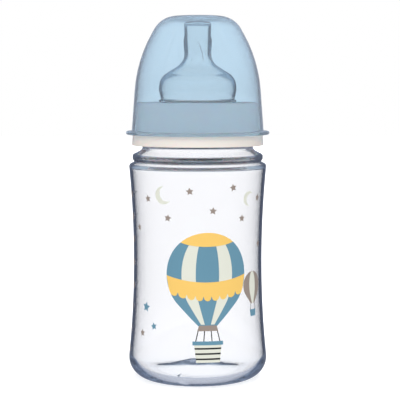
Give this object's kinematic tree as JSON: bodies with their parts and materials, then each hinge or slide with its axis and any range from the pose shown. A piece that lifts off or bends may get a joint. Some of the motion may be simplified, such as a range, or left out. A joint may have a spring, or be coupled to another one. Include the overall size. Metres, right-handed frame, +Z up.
{
  "type": "baby bottle",
  "caption": "Wide-neck baby bottle: clear waisted body with a screw neck, screw ring, silicone teat and a domed pull-off cap with a round brim.",
  "frame": {"origin": "centre of the standing ring under the bottle, on the surface it stands on", "axes": "+Z up the bottle's axis of turning, -Y to the printed front, +X to the right of the front"},
  "size_m": [0.0684, 0.0684, 0.1732],
  "materials": {
    "clear_body": "gloss",
    "ring_plastic": "satin",
    "teat_silicone": "satin",
    "cap_plastic": "gloss"
  },
  "bodies": {
    "bottle": {"bottle_body": "clear_body"},
    "teat": {"teat": "teat_silicone"},
    "ring": {"screw_ring": "ring_plastic"},
    "cap": {"cap": "cap_plastic"}
  },
  "joints": [
    {"name": "ring_rise", "type": "slide", "parent": "bottle", "child": "teat", "axis": [0, 0, 1], "range_m": [0, 0.0181]},
    {"name": "ring_turn", "type": "hinge", "parent": "teat", "child": "ring", "pos_m": [0, 0, 0.122], "axis": [0, 0, 1], "range_deg": [0, 1080]},
    {"name": "cap_pull", "type": "slide", "parent": "ring", "child": "cap", "axis": [0, 0, 1], "range_m": [0, 0.058]}
  ],
  "couplings": [
    {"joint": "ring_rise", "follows": "ring_turn", "m_per_rad": 0.00095493}
  ]
}
